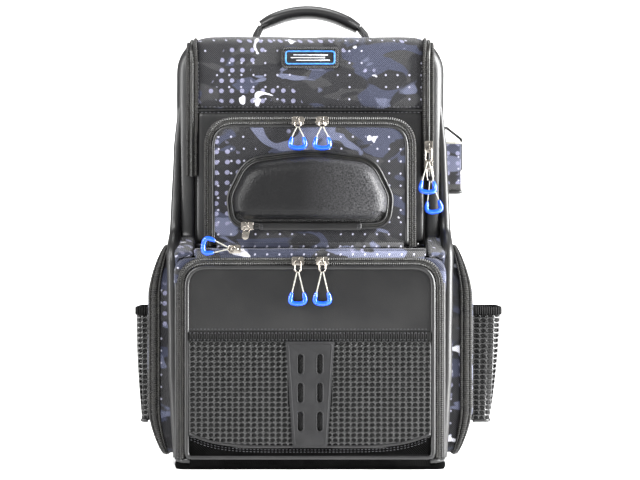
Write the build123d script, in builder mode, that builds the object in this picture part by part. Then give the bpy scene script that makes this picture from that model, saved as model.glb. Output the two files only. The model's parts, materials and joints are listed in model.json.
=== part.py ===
"""Fishing tackle backpack, as an assembly of separate pieces. Millimetres.

+Z is up, -Y is the front of the bag, +X is the right-hand side seen from the front.
The origin is the middle of the base's underside, below the upright load of the bag.
"""

import os
from math import cos, radians, sin

from build123d import *

os.makedirs("parts", exist_ok=True)

# Overall size of the bag
body_width = 290.0
height = 465.0
wall = 5.0
gap = 0.3  # between neighbouring pieces
back_y = 91.0
upper_front_y = -75.0
lower_front_y = -113.0
base_thickness = 10.0
ledge_z = 226.0  # top of the lower compartment's front
shelf_z = (205.0, 213.0)
body_half = body_width / 2
inner_half = body_half - wall

# Rounding of the upper body
top_round = 38.0
front_round = 14.0
back_round = 8.0

# Main flap: the front and top of the upper body, which peels forwards
flap_half = 124.0
flap_rear_y = 54.0
flap_bottom_z = 240.0
seam_z = 385.0
flap_hinge_y = -116.0
flap_hinge_z = 228.0
ledge_top_z = 237.0
zip_end_z = 312.0
zip_width = 7.0
zip_lift = 2.2

# Lower door, which gives on to the tray bay
door_half = 134.0
door_bottom_z = 10.5
door_top_z = 218.5
door_corner = 24.0
door_front_y = -117.0
door_back_y = -108.3

# Upper pocket on the flap
pocket_half = 113.0
pocket_z = (236.5, 376.0)
pocket_corner = 32.0
pocket_front_y = -98.0
pocket_zip = 8.0
pocket_door_y = (-103.0, -98.4)

# Moulded glasses case on the pocket's door
case_corner = 24.0
case_bottom_z = 256.0
case_rim = 10.0
case_base_y = (-108.0, -103.3)
case_lid_front_y = -131.0

# Side pockets
side_y = (-80.0, 50.0)
side_z = (14.0, 238.0)
side_corner = (45.0, 22.0)
gusset_out_x = 165.0
side_door_x = (165.3, 174.0)

# Zip sliders and pulls
slider_length = 13.0
slider_width = 9.0
slider_height = 4.0
crown_height = 8.0
pivot_height = 5.5
cord_diameter = 1.4
grip_diameter = 5.0
ring_thickness = 1.5


def write(part, name):
    part.label = name
    export_step(part, f"parts/{name}.step")


def block(x, y, z):
    """A plain block between the pairs x, y and z."""
    with BuildPart() as made:
        with Locations(((x[0] + x[1]) / 2, (y[0] + y[1]) / 2, (z[0] + z[1]) / 2)):
            Box(x[1] - x[0], y[1] - y[0], z[1] - z[0])
    return made.part


def panel(plane, across, up, top_radius, bottom_radius, thickness):
    """A flat panel on a plane, with its own radius at the top and bottom corners."""
    with BuildPart() as made:
        with BuildSketch(plane) as outline:
            with Locations(((across[0] + across[1]) / 2, (up[0] + up[1]) / 2)):
                Rectangle(across[1] - across[0], up[1] - up[0])
            if top_radius:
                fillet(outline.vertices().group_by(Axis.Y)[-1], top_radius)
            if bottom_radius:
                fillet(outline.vertices().group_by(Axis.Y)[0], bottom_radius)
        extrude(amount=thickness)
    return made.part


def facing_front(y):
    """The plane at y that faces the front: sketches on it run X across and Z up."""
    return Plane.XZ.offset(-y)


def upper_block(grow):
    """The upper body's outer shape, grown by some millimetres all round."""
    half = body_half + grow
    with BuildPart() as made:
        add(block((-half, half), (upper_front_y - grow, back_y + grow), (ledge_z, height + grow)))
        fillet(made.edges().filter_by(Axis.Y).group_by(Axis.Z)[-1], top_round + grow)
        front = made.faces().sort_by(Axis.Y)[0]
        fillet(front.edges().sort_by(Axis.Z)[1:], front_round + grow)
        back = made.faces().sort_by(Axis.Y)[-1]
        fillet(back.edges().sort_by(Axis.Z)[1:], back_round + grow)
    return made.part


def mirrored(part):
    with BuildPart() as made:
        mirror(part, about=Plane.YZ)
    return made.part


# Shell of the bag: the upper body is one rounded box, cut where the panels are sewn
with BuildPart() as upper_wall:
    add(upper_block(0))
    add(upper_block(-wall), mode=Mode.SUBTRACT)

with BuildPart() as side_wall:
    add(upper_wall.part)
    add(block((flap_half + gap, 150), (-80, 95), (ledge_z, height + 5)), mode=Mode.INTERSECT)
    add(block((inner_half, body_half), (lower_front_y + wall + gap, back_y), (base_thickness, ledge_z)))
    with BuildSketch(Plane.YZ.offset(flap_half + gap)):
        with BuildLine():
            Polyline(
                (lower_front_y, ledge_z + gap),
                (upper_front_y, ledge_z + gap),
                (upper_front_y, flap_bottom_z + 8),
                (lower_front_y, ledge_z + 5),
                close=True,
            )
        make_face()
    extrude(amount=body_half - flap_half - gap)
write(side_wall.part, "side_wall_right")
write(mirrored(side_wall.part), "side_wall_left")

with BuildPart() as back_wall:
    add(upper_wall.part)
    rear = (flap_rear_y + gap, 95)
    add(block((-flap_half, flap_half), rear, (ledge_z, height + 5)), mode=Mode.INTERSECT)
    lower_half = inner_half - gap
    add(block((-lower_half, lower_half), (back_y - wall, back_y), (base_thickness + gap, ledge_z)))
write(back_wall.part, "back_wall")

# Stiff sheet inside the back
board_y = back_y - wall - gap
write(
    panel(facing_front(board_y), (-115, 115), (shelf_z[1] + 8, 430), 30, 12, 2.2),
    "back_board",
)

with BuildPart() as base_panel:
    add(block((-body_half, body_half), (lower_front_y, back_y), (0, base_thickness - gap)))
    fillet(base_panel.edges().filter_by(Axis.Z), 12)
write(base_panel.part, "base_panel")

shelf_half = inner_half - gap
shelf_y = (lower_front_y + wall + 2 * gap, back_y - wall - gap)
write(block((-shelf_half, shelf_half), shelf_y, shelf_z), "divider_shelf")

with BuildPart() as lower_front_frame:
    add(
        panel(
            facing_front(lower_front_y + wall),
            (-body_half, body_half),
            (base_thickness, ledge_z),
            18,
            0,
            wall,
        )
    )
    add(
        panel(
            facing_front(lower_front_y + wall + 1),
            (-door_half - 0.5, door_half + 0.5),
            (base_thickness - 1, door_top_z + 0.5),
            door_corner + 0.5,
            0,
            wall + 2,
        ),
        mode=Mode.SUBTRACT,
    )
write(lower_front_frame.part, "lower_front_frame")


# Main zip: it follows the flap's edge up each side, over the top and across the back
with BuildPart() as main_zip:
    add(upper_block(zip_lift))
    add(upper_block(0.2), mode=Mode.SUBTRACT)
    track = flap_half + zip_width
    add(block((-track, track), (-80, flap_rear_y + zip_width), (zip_end_z, height + 5)), mode=Mode.INTERSECT)
    add(
        block((-flap_half, flap_half), (-85, flap_rear_y), (zip_end_z - 1, height + 6)),
        mode=Mode.SUBTRACT,
    )
write(main_zip.part, "main_zip")

with BuildPart() as flap_camo_panel:
    add(upper_wall.part)
    flap_across = (-flap_half + gap, flap_half - gap)
    add(block(flap_across, (-80, flap_rear_y), (seam_z, height + 5)), mode=Mode.INTERSECT)
write(flap_camo_panel.part, "flap_camo_panel")

write(
    block(flap_across, (upper_front_y, upper_front_y + wall), (flap_bottom_z, seam_z - gap)),
    "flap_black_panel",
)

with BuildPart() as ledge_band:
    with BuildSketch(Plane.YZ.offset(-flap_half + gap)):
        with BuildLine():
            Polyline(
                (flap_hinge_y, flap_hinge_z - 1),
                (flap_hinge_y + 3, flap_hinge_z - 1),
                (flap_hinge_y + 3, ledge_top_z - 5),
                (upper_front_y - gap, ledge_top_z - 4),
                (upper_front_y - gap, ledge_top_z - 1),
                (flap_hinge_y, ledge_top_z - 1.5),
                close=True,
            )
        make_face()
    extrude(amount=2 * (flap_half - gap))
write(ledge_band.part, "ledge_band")

# Blank moulded badge on the flap
write(
    panel(facing_front(upper_front_y - gap), (-28, 28), (433, 450), 2, 2, 2.5),
    "badge",
)

# Upper pocket: gusset, zip and door
with BuildPart() as upper_pocket_gusset:
    depth = upper_front_y - gap - pocket_front_y
    start = facing_front(upper_front_y - gap)
    add(panel(start, (-pocket_half, pocket_half), pocket_z, pocket_corner, 6, depth))
    inside = (-pocket_half + 3, pocket_half - 3)
    inside_z = (pocket_z[0] + 3, pocket_z[1] - 3)
    add(panel(start, inside, inside_z, pocket_corner - 3, 3, depth), mode=Mode.SUBTRACT)
write(upper_pocket_gusset.part, "upper_pocket_gusset")

with BuildPart() as upper_zip:
    start = facing_front(pocket_front_y - 0.2)
    add(panel(start, (-pocket_half, pocket_half), pocket_z, pocket_corner, 0, 2.8))
    track_inside = pocket_half - pocket_zip
    add(
        panel(
            start,
            (-track_inside, track_inside),
            (pocket_z[0] - 5, pocket_z[1] - pocket_zip),
            pocket_corner - pocket_zip,
            0,
            3,
        ),
        mode=Mode.SUBTRACT,
    )
write(upper_zip.part, "upper_zip")

pocket_door_half = pocket_half - pocket_zip - 0.4
write(
    panel(
        facing_front(pocket_door_y[1]),
        (-pocket_door_half, pocket_door_half),
        (pocket_z[0] + 2, pocket_z[1] - pocket_zip - 0.4),
        pocket_corner - pocket_zip - 0.4,
        3,
        pocket_door_y[1] - pocket_door_y[0],
    ),
    "upper_pocket_door",
)


def case_outline(inset):
    """Flat bottom, sides that lean in above the middle and a low gable, all inset alike."""
    with BuildSketch() as outline:
        with BuildLine():
            FilletPolyline(
                (-86, case_bottom_z),
                (86, case_bottom_z),
                (90, case_bottom_z + 36),
                (70, case_bottom_z + 77),
                (0, case_bottom_z + 86),
                (-70, case_bottom_z + 77),
                (-90, case_bottom_z + 36),
                radius=(case_corner, case_corner, 30, 34, 150, 34, 30),
                close=True,
            )
        make_face()
        if inset:
            offset(amount=-inset, mode=Mode.REPLACE)
    return outline.sketch


def case_slab(back, front, inset):
    with BuildPart() as made:
        with BuildSketch(facing_front(back)):
            add(case_outline(inset))
        extrude(amount=back - front)
    return made.part


with BuildPart() as case_base:
    add(case_slab(case_base_y[1], case_base_y[0], 0))
write(case_base.part, "case_base")

strip_y = case_base_y[0] - gap
write(
    panel(facing_front(strip_y), (-55, 55), (case_bottom_z - 1, case_bottom_z + 8), 2, 2, 2.4),
    "case_hinge_strip",
)

# The lid is a hollow dome: it narrows in steps that are lofted together
with BuildPart() as case_lid:
    lid_back_y = case_base_y[0] - 1
    levels = ((lid_back_y, case_rim), (-121.0, 12.0), (-127.5, 16.0), (case_lid_front_y, 22.0))
    for (y_back, inset_back), (y_front, inset_front) in zip(levels, levels[1:]):
        with BuildSketch(facing_front(y_back)):
            add(case_outline(inset_back))
        with BuildSketch(facing_front(y_front)):
            add(case_outline(inset_front))
        loft(ruled=True)
    hollow = ((lid_back_y, case_rim + 2.5), (-121.0, 14.5), (-128.6, 19.5))
    for (y_back, inset_back), (y_front, inset_front) in zip(hollow, hollow[1:]):
        with BuildSketch(facing_front(y_back)):
            add(case_outline(inset_back))
        with BuildSketch(facing_front(y_front)):
            add(case_outline(inset_front))
        loft(ruled=True, mode=Mode.SUBTRACT)
write(case_lid.part, "case_lid")

# Lower door and what is sewn to it
write(
    panel(
        facing_front(door_back_y),
        (-door_half, door_half),
        (door_bottom_z, door_top_z),
        door_corner,
        6,
        door_back_y - door_front_y,
    ),
    "lower_door",
)

with BuildPart() as lower_zip:
    start = facing_front(lower_front_y - 0.2)
    track = door_half + zip_width
    add(panel(start, (-track, track), (12, ledge_z), door_corner + zip_width, 0, 2.6))
    add(
        panel(
            facing_front(lower_front_y + 0.3),
            (-door_half - 0.5, door_half + 0.5),
            (8, door_top_z + 0.5),
            door_corner + 0.5,
            0,
            4,
        ),
        mode=Mode.SUBTRACT,
    )
write(lower_zip.part, "lower_zip")

band_z = (137.0, 147.0)
mesh_face = door_front_y - 0.2
write(
    block((-128, 128), (mesh_face - 2, mesh_face), (band_z[0] + 0.2, band_z[1])),
    "elastic_band",
)
with BuildPart() as front_mesh:
    for side in (-1, 1):
        with BuildSketch(facing_front(mesh_face)):
            with BuildLine():
                Polyline(
                    (side * 128, band_z[0]),
                    (side * 26.5, band_z[0]),
                    (side * 18.8, 24),
                    (side * 95, 25),
                    (side * 128, 38),
                    close=True,
                )
            make_face()
        extrude(amount=3.5)
write(front_mesh.part, "front_mesh")

with BuildPart() as centre_patch:
    with BuildSketch(facing_front(mesh_face)) as patch:
        with BuildLine():
            Polyline((-26, 137), (26, 137), (18.3, 24), (-18.3, 24), close=True)
        make_face()
        with Locations((0, 82.5)):
            with GridLocations(20.6, 30.5, 2, 3):
                SlotOverall(20.6, 5.7, rotation=90, mode=Mode.SUBTRACT)
    extrude(amount=4.2)
write(centre_patch.part, "centre_patch")

# Side pockets: gusset, door and the net pocket on it
with BuildPart() as side_gusset:
    depth = gusset_out_x - body_half - gap
    start = Plane.YZ.offset(body_half + gap)
    add(panel(start, side_y, side_z, *side_corner, depth))
    inside_y = (side_y[0] + 4, side_y[1] - 4)
    inside_z = (side_z[0] + 4, side_z[1] - 4)
    inside_corner = (side_corner[0] - 4, side_corner[1] - 4)
    add(panel(start, inside_y, inside_z, *inside_corner, depth), mode=Mode.SUBTRACT)
write(side_gusset.part, "side_gusset_right")
write(mirrored(side_gusset.part), "side_gusset_left")

with BuildPart() as side_door:
    thickness = side_door_x[1] - side_door_x[0]
    add(panel(Plane.YZ.offset(side_door_x[0]), side_y, side_z, *side_corner, thickness))
    fillet(side_door.faces().sort_by(Axis.X)[-1].edges(), 5)
write(side_door.part, "side_door_right")
write(mirrored(side_door.part), "side_door_left")

net_y = (-60.0, 30.0)
net_z = (48.0, 170.0)
net_wall = 2.5


def net_block(foot, mouth, corner, inset, top):
    """The net pocket's outer shape, or its hollow, which runs out at the top.

    foot and mouth are how far it stands out at the bottom and top.
    """
    inner = side_door_x[1] + gap
    with BuildPart() as made:
        with BuildSketch(Plane.XZ.offset(-net_y[1] + inset)):
            with BuildLine():
                Polyline(
                    (inner, net_z[0] + inset),
                    (inner + foot - inset / 2, net_z[0] + inset),
                    (inner + mouth - inset, net_z[1] + top),
                    (inner, net_z[1] + top),
                    close=True,
                )
            make_face()
        extrude(amount=net_y[1] - net_y[0] - 2 * inset)
        outer = made.faces().sort_by(Axis.X)[-1]
        fillet(outer.edges().filter_by(Axis.Y, reverse=True), corner - inset)
    return made.part


def net_pocket(foot, mouth, corner):
    with BuildPart() as made:
        add(net_block(foot, mouth, corner, 0, 0))
        add(net_block(foot, mouth, corner, net_wall, 5), mode=Mode.SUBTRACT)
    return made.part


# The right-hand pocket is stretched further out than the left one
write(net_pocket(20, 32, 10), "mesh_pocket_right")
write(mirrored(net_pocket(8, 14, 6)), "mesh_pocket_left")

# Pliers holster on the right-hand side, with the strap that closes over it
holster_y = (-14.0, 26.0)
holster_x = body_half + gap
with BuildPart() as pliers_holster:
    with BuildSketch(Plane.YZ.offset(holster_x)):
        with Locations((6, 335.5)):
            SlotOverall(77, 40, rotation=90)
    extrude(amount=2.2)
    outside = block((holster_x + 2.2, holster_x + 21), holster_y, (297, 352))
    hollow = block(
        (holster_x + 2.2, holster_x + 18.6),
        (holster_y[0] + 2.4, holster_y[1] - 2.4),
        (300, 353),
    )
    add(outside)
    add(hollow, mode=Mode.SUBTRACT)
    lower_edges = pliers_holster.edges().filter_by(Axis.Y).group_by(Axis.X)[-1]
    chamfer(lower_edges.sort_by(Axis.Z)[0], 2)

with BuildPart() as holster_strap:
    strap_start = Plane.XZ.offset(2)
    with BuildSketch(strap_start):
        with BuildLine():
            Polyline(
                (holster_x + 2.5, 370),
                (holster_x + 6, 371),
                (holster_x + 23.5, 357),
                (holster_x + 23.5, 322),
                (holster_x + 21.3, 322),
                (holster_x + 21.3, 355.5),
                (holster_x + 5.2, 368.4),
                (holster_x + 2.5, 364),
                close=True,
            )
        make_face()
    extrude(amount=-16)
    add(pliers_holster.part, mode=Mode.SUBTRACT)
write(
    Compound(children=[pliers_holster.part.solid(), holster_strap.part.solid()]),
    "pliers_holster",
)

# Back: pads, shoulder straps, webbing and ladder locks
pad_back = back_y + gap
with BuildPart() as back_pads:
    for side in (-1, 1):
        across = tuple(sorted((side * 8, side * 104)))
        add(panel(facing_front(pad_back + 12), across, (190, 398), 24, 14, 12))
    add(panel(facing_front(pad_back + 14), (-78, 78), (52, 176), 22, 22, 14))
    fillet(back_pads.faces().filter_by(Axis.Y).group_by(Axis.Y)[-1].edges(), 5)
    fillet(back_pads.faces().filter_by(Axis.Y).group_by(Axis.Y)[-2].edges(), 5)
write(back_pads.part, "back_pads")

strap_thickness = 12.0
strap_top = (back_y + 7.5, 428.0)
strap_bottom = (112.0, 172.0)
strap_bulge = (147.0, 306.0)
strap_width = 60.0
with BuildPart() as shoulder_strap:
    with BuildSketch(Plane.YZ):
        with BuildLine():
            ThreePointArc(strap_top, strap_bulge, strap_bottom)
        trace(line_width=strap_thickness)
    extrude(amount=130)
    with BuildSketch(Plane.XZ.offset(-200)):
        with BuildLine():
            Spline((50, 440), (50, 400), (64, 290), (84, 200), (86, 160))
        trace(line_width=strap_width)
    extrude(amount=120, mode=Mode.INTERSECT)
write(shoulder_strap.part, "shoulder_strap_right")
write(mirrored(shoulder_strap.part), "shoulder_strap_left")

lock_centre = (86.0, 110.0, 150.0)
webbing_foot = (122.0, 94.0, 26.0)
with BuildPart() as ladder_locks:
    for side in (-1, 1):
        place = Plane(
            origin=(side * lock_centre[0], lock_centre[1], lock_centre[2]),
            x_dir=(1, 0, side * 0.29),
            z_dir=(0, 1, 0),
        )
        with BuildSketch(place):
            RectangleRounded(34, 26, 3)
            with Locations((0, 7), (0, -1.5), (0, -8)):
                Rectangle(27, 3.4, mode=Mode.SUBTRACT)
        extrude(amount=4)
write(ladder_locks.part, "ladder_locks")

with BuildPart() as strap_webbings:
    for side in (-1, 1):
        head = Vector(side * 90, lock_centre[1] - 0.5, lock_centre[2] - 16)
        foot = Vector(side * webbing_foot[0], webbing_foot[1], webbing_foot[2])
        along = foot - head
        place = Plane(origin=head, x_dir=Vector(0, 1, 0).cross(along), z_dir=along)
        with BuildSketch(place):
            Rectangle(25, 1.8)
        extrude(amount=along.length)
write(strap_webbings.part, "strap_webbings")

# Sternum strap: socket and webbing on the left, and a plug that slides on the right webbing
sternum_z = (322.0, 342.0)
sternum_face = 153.6
with BuildPart() as sternum_webbings:
    add(block((-78, -20), (sternum_face + 2.8, sternum_face + 4.4), sternum_z))
    add(block((-78, -64), (sternum_face, sternum_face + 2.8), sternum_z))
    add(block((12, 78), (sternum_face + 2.8, sternum_face + 4.4), sternum_z))
    add(block((64, 78), (sternum_face, sternum_face + 2.8), sternum_z))
write(sternum_webbings.part, "sternum_webbings")

buckle_y = (sternum_face + 0.6, sternum_face + 9.6)
with BuildPart() as sternum_socket:
    add(block((-19.5, 6), buckle_y, (318, 346)))
    fillet(sternum_socket.edges().filter_by(Axis.Y), 3)
    cavity_y = (buckle_y[0] + 1.6, buckle_y[1] - 1.6)
    add(block((-15, 7), cavity_y, (321, 343)), mode=Mode.SUBTRACT)
    for side_z_range in ((317, 322), (342, 347)):
        add(block((-12, -3), cavity_y, side_z_range), mode=Mode.SUBTRACT)
write(sternum_socket.part, "sternum_socket")

with BuildPart() as sternum_plug:
    add(block((6.5, 26), buckle_y, (318, 346)))
    fillet(sternum_plug.edges().filter_by(Axis.Y), 3)
    webbing_slot = (sternum_face + 2.4, sternum_face + 4.8)
    add(block((5, 27), webbing_slot, (sternum_z[0] - 0.4, sternum_z[1] + 0.4)), mode=Mode.SUBTRACT)
    prong_y = (buckle_y[0] + 5.4, buckle_y[1] - 2.0)
    for prong_z in ((321.5, 326), (330, 334), (338, 342.5)):
        add(block((-12, 6.5), prong_y, prong_z))
write(sternum_plug.part, "sternum_plug")

# Carrying handle at the rear of the top
handle_y = 76.5
handle_foot_z = height + 1.3
with BuildPart() as handle_webbing:
    with BuildLine(Plane.XZ.offset(-handle_y)) as handle_line:
        FilletPolyline(
            (-65, handle_foot_z),
            (-59, handle_foot_z + 20),
            (-24, handle_foot_z + 36),
            (14, handle_foot_z + 37),
            (56, handle_foot_z + 19.5),
            (65, handle_foot_z),
            radius=9,
        )
    with BuildSketch(Plane(handle_line.line @ 0, x_dir=(0, 1, 0), z_dir=handle_line.line % 0)):
        Rectangle(25, 3)
    sweep()
write(handle_webbing.part, "handle_webbing")

with BuildPart() as handle_grip:
    with BuildLine(Plane.XZ.offset(-handle_y)) as grip_line:
        FilletPolyline(
            (-52, handle_foot_z + 23.2),
            (-24, handle_foot_z + 36),
            (14, handle_foot_z + 37),
            (50, handle_foot_z + 22),
            radius=9,
        )
    with BuildSketch(Plane(grip_line.line @ 0, x_dir=(0, 1, 0), z_dir=grip_line.line % 0)):
        RectangleRounded(30, 15, 7)
    sweep()
    add(handle_webbing.part, mode=Mode.SUBTRACT)
write(handle_grip.part, "handle_grip")


# Zip sliders and pulls. Their plane has X along the pull's pivot, Y up and Z outwards.
def slider(plane, travel_up):
    """Slider body with a crown over it. travel_up says that it runs along the plane's Y."""
    size = (slider_width, slider_length) if travel_up else (slider_length, slider_width)
    with BuildPart() as made:
        with BuildSketch(plane):
            RectangleRounded(*size, 2)
        extrude(amount=slider_height)
        crown = Plane(plane.from_local_coords((-1.2, 0, 0)), x_dir=plane.y_dir, z_dir=plane.x_dir)
        with BuildSketch(crown):
            with Locations((0, (crown_height + slider_height) / 2 - 0.2)):
                RectangleRounded(8, crown_height - slider_height + 0.4, 1)
            with Locations((0, pivot_height)):
                Rectangle(4.6, 2.6, mode=Mode.SUBTRACT)
        extrude(amount=2.4)
    return made.part


def hung_from(plane, tilt, lean):
    """The plane of a hanging pull: tilt swings it sideways and lean swings it outwards."""
    across = plane.x_dir * cos(radians(tilt)) + plane.y_dir * sin(radians(tilt))
    along = plane.y_dir * cos(radians(tilt)) - plane.x_dir * sin(radians(tilt))
    outward = plane.z_dir * cos(radians(lean)) + along * sin(radians(lean))
    return Plane(origin=plane.offset(pivot_height).origin, x_dir=across, z_dir=outward)


def pull(plane, ring_length, drop=33.0, tilt=0, lean=0):
    """Metal ring, cord loop and moulded grip, hung from a slider's crown."""
    hung = hung_from(plane, tilt, lean)
    bar = ring_thickness
    with BuildPart() as ring:
        with BuildSketch(hung.offset(-bar / 2)):
            with Locations((0, bar / 2 - ring_length / 2)):
                SlotOverall(ring_length, 8, rotation=90)
                SlotOverall(ring_length - 2 * bar, 8 - 2 * bar, rotation=90, mode=Mode.SUBTRACT)
        extrude(amount=bar)
    eye_y = bar - ring_length
    grip_top = eye_y - drop + 14
    foot = eye_y - drop
    with BuildPart() as cord:
        with BuildLine(hung) as route:
            FilletPolyline(
                (-0.9, eye_y + 0.6),
                (-5.6, grip_top),
                (-9.2, foot),
                (9.2, foot),
                (5.6, grip_top),
                (0.9, eye_y + 0.6),
                radius=6,
            )
        with BuildSketch(Plane(route.line @ 0, z_dir=route.line % 0)):
            Circle(cord_diameter / 2)
        sweep()
        add(ring.part, mode=Mode.SUBTRACT)
    with BuildPart() as grip:
        with BuildLine(hung) as grip_route:
            FilletPolyline(
                (-6.2, grip_top - 2),
                (-9.2, foot),
                (9.2, foot),
                (6.2, grip_top - 2),
                radius=6,
            )
        with BuildSketch(Plane(grip_route.line @ 0, z_dir=grip_route.line % 0)):
            Circle(grip_diameter / 2)
        sweep()
        add(cord.part, mode=Mode.SUBTRACT)
    return Compound(children=[ring.part.solid(), *cord.part.solids(), *grip.part.solids()])


def tab_pull(plane, tilt=0, length=22.0):
    """Plain metal tab, hung from a slider's crown."""
    bar = ring_thickness
    with BuildPart() as made:
        with BuildSketch(hung_from(plane, tilt, 0).offset(-bar / 2)):
            with Locations((0, bar / 2 - length / 2)):
                SlotOverall(length, 7.4, rotation=90)
            with Locations((0, -3.4)):
                Rectangle(4.4, 5.3, mode=Mode.SUBTRACT)
        extrude(amount=bar)
    return made.part


def at_front(x, y, z):
    return Plane(origin=(x, y, z), x_dir=(1, 0, 0), z_dir=(0, -1, 0))


slider_x = 13.0
upper_slider_z = pocket_z[1] - pocket_zip / 2
lower_slider_z = door_top_z + 4
for label, side in (("left", -1), ("right", 1)):
    seat = at_front(side * slider_x, pocket_door_y[0] - gap, upper_slider_z)
    write(slider(seat, travel_up=False), f"upper_slider_{label}")
    write(pull(seat, ring_length=9, drop=23, lean=14), f"upper_pull_{label}")
    seat = at_front(side * slider_x, door_front_y - gap, lower_slider_z)
    write(slider(seat, travel_up=False), f"lower_slider_{label}")
    write(pull(seat, ring_length=14), f"lower_pull_{label}")

main_slider_x = flap_half + zip_width / 2
main_sliders = (("top", 345.0, -2, 14), ("bottom", 325.0, 7, 0))
for label, z, tilt, lean in main_sliders:
    seat = at_front(main_slider_x, upper_front_y - zip_lift - 0.4, z)
    write(slider(seat, travel_up=True), f"main_slider_{label}")
    write(pull(seat, ring_length=19, tilt=tilt, lean=lean), f"main_pull_{label}")

seat = at_front(-67.0, case_base_y[0] - gap, case_bottom_z + 3.6)
write(slider(seat, travel_up=False), "case_slider")
write(tab_pull(seat, tilt=-10, length=15.5), "case_pull")

# Slim pocket in the ledge: its slider sits on the ledge's front, with the pull laid over
seat = Plane(origin=(-80, flap_hinge_y - gap, 235), x_dir=(0, 0, -1), z_dir=(0, -1, 0))
write(slider(seat, travel_up=True), "ledge_slider")
write(pull(seat, ring_length=9, drop=26, tilt=-7), "ledge_pull")

side_seat = Plane(origin=(gusset_out_x - 4, side_y[1] + 0.4, 186), x_dir=(-1, 0, 0), z_dir=(0, 1, 0))
write(slider(side_seat, travel_up=True), "side_slider_right")
write(mirrored(slider(side_seat, travel_up=True)), "side_slider_left")
write(tab_pull(side_seat), "side_pull_right")
write(mirrored(tab_pull(side_seat)), "side_pull_left")
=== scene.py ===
"""Fabrics, zips, netting and fittings of a fishing tackle backpack, built round its frame.

-Y is the front of the bag and +Z is up. Sizes and places are in millimetres unless a name says
otherwise, and are turned into metres where a mesh is made.
"""

import json
import math

import bmesh
import bpy
from mathutils import Matrix, Vector, noise
from mathutils.bvhtree import BVHTree


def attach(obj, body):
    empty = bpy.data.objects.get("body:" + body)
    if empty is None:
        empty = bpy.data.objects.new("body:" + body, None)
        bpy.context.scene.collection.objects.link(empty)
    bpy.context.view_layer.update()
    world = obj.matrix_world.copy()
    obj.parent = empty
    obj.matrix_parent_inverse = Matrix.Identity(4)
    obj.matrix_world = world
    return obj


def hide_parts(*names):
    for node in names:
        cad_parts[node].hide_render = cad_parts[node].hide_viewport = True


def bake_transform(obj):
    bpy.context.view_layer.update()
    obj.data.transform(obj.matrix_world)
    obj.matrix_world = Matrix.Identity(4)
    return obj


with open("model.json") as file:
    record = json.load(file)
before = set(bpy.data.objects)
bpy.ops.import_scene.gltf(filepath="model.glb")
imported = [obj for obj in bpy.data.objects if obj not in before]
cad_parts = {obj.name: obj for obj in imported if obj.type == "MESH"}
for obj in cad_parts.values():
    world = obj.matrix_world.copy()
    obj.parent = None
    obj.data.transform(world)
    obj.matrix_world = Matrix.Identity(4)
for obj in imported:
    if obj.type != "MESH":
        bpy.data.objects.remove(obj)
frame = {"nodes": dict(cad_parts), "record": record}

MM = 0.001
FRONT = Vector((0, -1, 0))
UP = Vector((0, 0, 1))
SIDES = (("left", -1), ("right", 1))
NODES = frame["nodes"]
BODY_OF = {n: body for body, names in frame["record"]["behaviour"]["bodies"].items() for n in names}
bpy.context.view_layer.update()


# ---------------------------------------------------------------- colours and shaders


def linear(code):
    """An sRGB hex colour as linear red, green, blue and alpha."""
    values = [int(code[i : i + 2], 16) / 255 for i in (1, 3, 5)]
    return [v / 12.92 if v <= 0.04045 else ((v + 0.055) / 1.055) ** 2.4 for v in values] + [1.0]


def add(tree, kind, links=None, **settings):
    """One shader node, its settings, and what goes into its sockets: a value or another socket."""
    made = tree.nodes.new("ShaderNode" + kind)
    for key, value in settings.items():
        setattr(made, key, value)
    for key, value in (links or {}).items():
        if isinstance(value, bpy.types.NodeSocket):
            tree.links.new(value, made.inputs[key])
        else:
            made.inputs[key].default_value = value
    return made


def calc(tree, operation, *values):
    """The result of one operation on numbers, each a value or a socket."""
    return add(tree, "Math", dict(enumerate(values)), operation=operation).outputs[0]


def level(tree, value, low, high):
    """A value's place between low and high, from 0 to 1."""
    return add(tree, "MapRange", {"Value": value, "From Min": low, "From Max": high}).outputs[0]


def blended(tree, factor, low, high, how="MIX"):
    """A mix of two colours, each a hex colour or a socket."""
    ends = [linear(c) if isinstance(c, str) else c for c in (low, high)]
    links = {0: factor, 6: ends[0], 7: ends[1]}
    return add(tree, "Mix", links, data_type="RGBA", blend_type=how).outputs[2]


def finish(name, colour, roughness, relief=None, depth=0.3, **sockets):
    """A surface: colour and relief are functions of the tree, and depth is the relief's height."""
    material = bpy.data.materials.new(name)
    material.use_nodes = True
    tree = material.node_tree
    shader = tree.nodes["Principled BSDF"]
    shader.inputs["Roughness"].default_value = roughness
    for key, value in sockets.items():
        shader.inputs[key.replace("_", " ")].default_value = value
    tree.links.new(colour(tree), shader.inputs["Base Color"])
    if relief:
        bump = add(tree, "Bump", {"Height": relief(tree), "Distance": depth * MM, "Strength": 1.0})
        tree.links.new(bump.outputs["Normal"], shader.inputs["Normal"])
    return material


def place(tree):
    """Where a point is on the bag, in metres."""
    return add(tree, "TexCoord").outputs["Object"]


def spread(tree):
    """Two directions along the cloth: across is X on the front and Y on a side, and up is Z."""
    parts = add(tree, "SeparateXYZ", {"Vector": place(tree)}).outputs
    across = calc(tree, "ADD", parts["X"], parts["Y"])
    return across, calc(tree, "MULTIPLY_ADD", parts["Y"], 0.35, parts["Z"])


def wave(tree, run, pitch):
    """A sine of the run, with one crest in each pitch of millimetres."""
    return calc(tree, "SINE", calc(tree, "MULTIPLY", run, 2 * math.pi / (pitch * MM)))


def weave(pitch):
    """Threads over and under each other, at a spacing in millimetres."""

    def height(tree):
        across, up = spread(tree)
        return calc(tree, "MULTIPLY", wave(tree, across, pitch), wave(tree, up, pitch))

    return height


def grain(size, detail=3.0):
    """A fine random grain. size is in millimetres."""

    def height(tree):
        links = {"Vector": place(tree), "Scale": 1 / (size * MM), "Detail": detail}
        return add(tree, "TexNoise", links).outputs["Fac"]

    return height


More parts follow.
